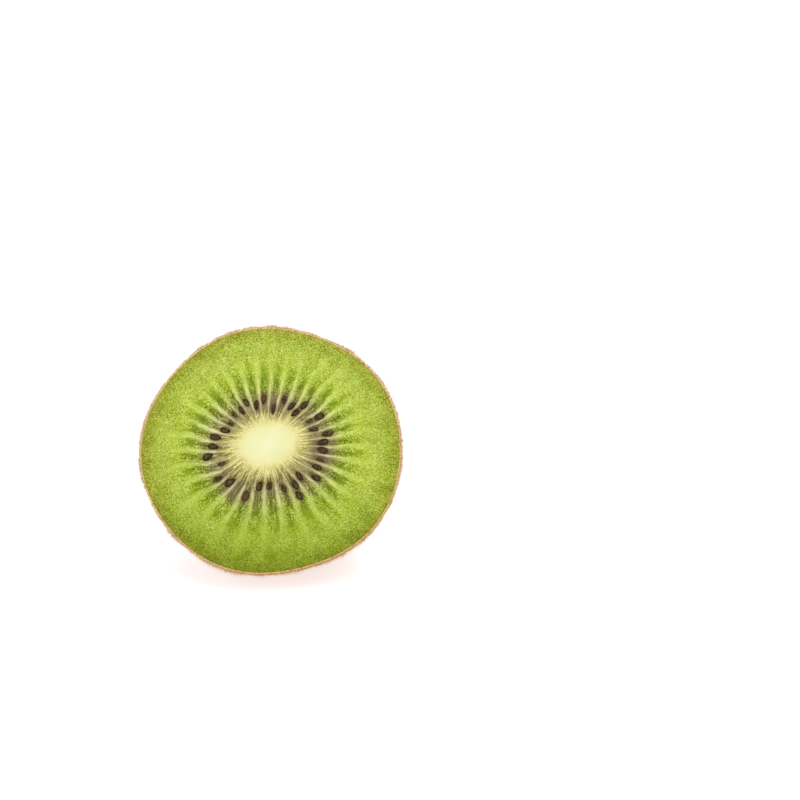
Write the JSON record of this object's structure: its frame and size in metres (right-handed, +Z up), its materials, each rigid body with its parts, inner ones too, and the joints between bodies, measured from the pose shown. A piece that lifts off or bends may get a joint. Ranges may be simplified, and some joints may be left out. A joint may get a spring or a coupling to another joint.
{
  "type": "kiwi fruit half",
  "caption": "Ripe fuzzy fruit cut across its middle, lying on its round side with the green cut face leaning back, a pale core ringed by small dark seeds and a dried flower cup at the far end.",
  "frame": {"origin": "on the surface that the half rests on, under the middle of its overall size", "axes": "+Z up, +X to the right of someone who looks at the cut face, -Y towards them; the cut face leans back by 27 degrees and the flower end points to +Y and down"},
  "size_m": [0.051, 0.0452, 0.0478],
  "materials": {
    "flesh": "moist, fine grained, bright green with a cream core and pale rays",
    "peel": "dry, matte, speckled brown",
    "fuzz": "short dry golden hair",
    "seed": "smooth and wet, dark purple brown",
    "flower_cup": "dry, papery and woody"
  },
  "bodies": {
    "root": {"kiwi_half": "flesh"}
  },
  "joints": []
}
